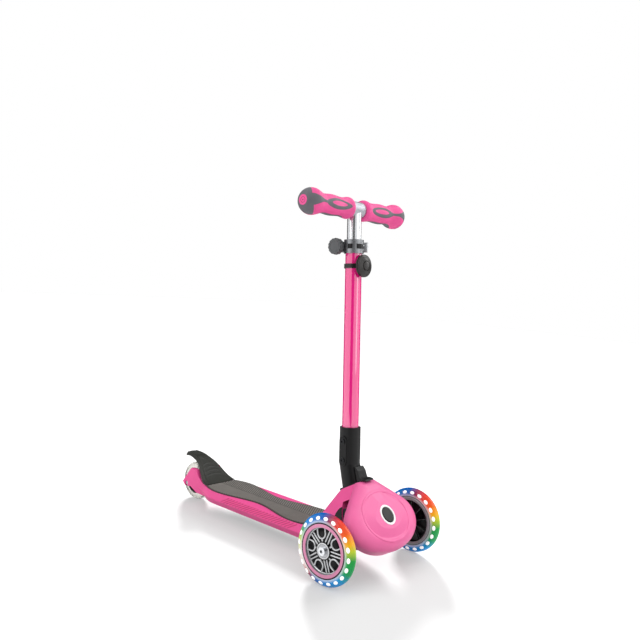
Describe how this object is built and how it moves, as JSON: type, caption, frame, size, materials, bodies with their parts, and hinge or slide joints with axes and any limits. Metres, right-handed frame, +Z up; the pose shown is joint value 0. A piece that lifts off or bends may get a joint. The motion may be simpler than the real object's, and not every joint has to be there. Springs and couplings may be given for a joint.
{
  "type": "kick scooter",
  "caption": "Child's three-wheel lean-to-steer kick scooter with a ribbed deck, rear fender brake, light-up clear wheels and a folding, height-adjustable T-bar with bell.",
  "frame": {"origin": "on the floor, under the middle of the box round the whole scooter", "axes": "+Z up, the rider faces -Y, +X is the rider's left"},
  "size_m": [0.28, 0.5805, 0.6586],
  "materials": {
    "pink_plastic": "satin moulded plastic, pink",
    "grey_rubber": "fine-ribbed grey rubber",
    "grip_rubber": "soft pink grip with dark grey inlays",
    "black_plastic": "fine-grained black nylon",
    "dark_plastic": "satin dark grey plastic",
    "bell_plastic": "semi-gloss black",
    "pink_tube": "anodised gloss pink",
    "silver_tube": "bright anodised",
    "clamp_alloy": "satin cast alloy",
    "chrome_metal": "polished",
    "steel": "plain steel",
    "dark_steel": "blackened",
    "clear_tyre": "clear cast polyurethane",
    "light_guide": "translucent light guide",
    "pink_trim": "gloss pink",
    "silver_trim": "silver paint",
    "white_plastic": "white",
    "bush_plastic": "acetal",
    "bumper_rubber": "elastomer"
  },
  "bodies": {
    "deck": {"deck_body": "pink_plastic", "front_housing": "pink_plastic", "front_cap": "pink_plastic", "deck_mat": "grey_rubber", "deck_plate": "steel", "deck_screws": "steel", "housing_bolts": "steel", "cap_studs": "steel", "kingpin": "steel", "kingpin_nut": "steel", "steering_bumpers": "bumper_rubber", "lock_bezel": "white_plastic", "lock_spring": "steel", "rear_axle": "steel", "rear_spacers": "steel", "brake_pin": "steel", "brake_spring": "steel", "fold_pin": "steel"},
    "axle_carrier": {"axle_carrier": "black_plastic", "steering_bushes": "bush_plastic", "axle_bolts": "chrome_metal", "wheel_spacers": "steel", "axle_magnets": "steel"},
    "front_wheel_left": {"tyre_left": "clear_tyre", "light_ring_left": "light_guide", "hub_left": "black_plastic", "hub_ring_left": "pink_trim", "hub_spider_left": "silver_trim", "bearings_left": "steel"},
    "front_wheel_right": {"tyre_right": "clear_tyre", "light_ring_right": "light_guide", "hub_right": "black_plastic", "hub_ring_right": "pink_trim", "hub_spider_right": "silver_trim", "bearings_right": "steel"},
    "rear_wheel": {"rear_tyre": "clear_tyre", "rear_hub": "black_plastic", "rear_bearings": "steel"},
    "brake": {"brake_fender": "dark_plastic", "brake_pad": "steel"},
    "t_bar": {"fold_bracket": "black_plastic", "bracket_bolts": "dark_steel", "outer_tube": "pink_tube", "tube_bush": "bush_plastic", "clamp_collar": "clamp_alloy", "clamp_skewer": "steel", "bell_strap": "bell_plastic", "bell_base": "bell_plastic"},
    "handlebar": {"inner_tube": "silver_tube", "crossbar": "silver_tube", "grip_left": "grip_rubber", "grip_right": "grip_rubber", "bar_plugs": "pink_trim"},
    "clamp_lever": {"clamp_lever": "chrome_metal"},
    "clamp_knob": {"clamp_knob": "dark_plastic"},
    "bell_dome": {"bell_dome": "bell_plastic"},
    "fold_latch": {"fold_latch": "black_plastic"},
    "lock_button": {"lock_button": "black_plastic"}
  },
  "joints": [
    {"name": "steering", "type": "hinge", "parent": "deck", "child": "axle_carrier", "pos_m": [0, -0.22975, 0.086], "axis": [0, -0.866, 0.5], "range_deg": [-20, 20], "stiffness_Nm_per_rad": 80},
    {"name": "front_left_spin", "type": "hinge", "parent": "axle_carrier", "child": "front_wheel_left", "pos_m": [0.126, -0.22975, 0.0605], "axis": [1, 0, 0], "continuous": true},
    {"name": "front_right_spin", "type": "hinge", "parent": "axle_carrier", "child": "front_wheel_right", "pos_m": [-0.126, -0.22975, 0.0605], "axis": [1, 0, 0], "continuous": true},
    {"name": "rear_spin", "type": "hinge", "parent": "deck", "child": "rear_wheel", "pos_m": [0, 0.25025, 0.04], "axis": [1, 0, 0], "continuous": true},
    {"name": "brake_press", "type": "hinge", "parent": "deck", "child": "brake", "pos_m": [0, 0.18825, 0.045], "axis": [-1, 0, 0], "range_deg": [0, 3], "stiffness_Nm_per_rad": 12},
    {"name": "t_bar_fold", "type": "hinge", "parent": "deck", "child": "t_bar", "pos_m": [0, -0.1775, 0.1205], "axis": [-1, 0, 0], "range_deg": [0, 80]},
    {"name": "bar_height", "type": "slide", "parent": "t_bar", "child": "handlebar", "axis": [0, 0.0785, 0.9969], "range_m": [0, 0.15]},
    {"name": "clamp_lever_swing", "type": "hinge", "parent": "t_bar", "child": "clamp_lever", "pos_m": [0.0199, -0.11242, 0.56554], "axis": [0, 0.0785, 0.9969], "range_deg": [0, 140]},
    {"name": "clamp_knob_turn", "type": "hinge", "parent": "t_bar", "child": "clamp_knob", "pos_m": [-0.024, -0.11242, 0.56554], "axis": [1, 0, 0], "continuous": true},
    {"name": "bell_twist", "type": "hinge", "parent": "t_bar", "child": "bell_dome", "pos_m": [0, -0.13714, 0.53188], "axis": [0, -0.9969, 0.0785], "range_deg": [-40, 40], "stiffness_Nm_per_rad": 0.03},
    {"name": "fold_latch_lift", "type": "slide", "parent": "t_bar", "child": "fold_latch", "axis": [0, 0.3214, 0.9469], "range_m": [0, 0.005], "stiffness_N_per_m": 500},
    {"name": "lock_button_press", "type": "slide", "parent": "deck", "child": "lock_button", "axis": [0, 0.7749, -0.632], "range_m": [0, 0.004], "stiffness_N_per_m": 400}
  ]
}
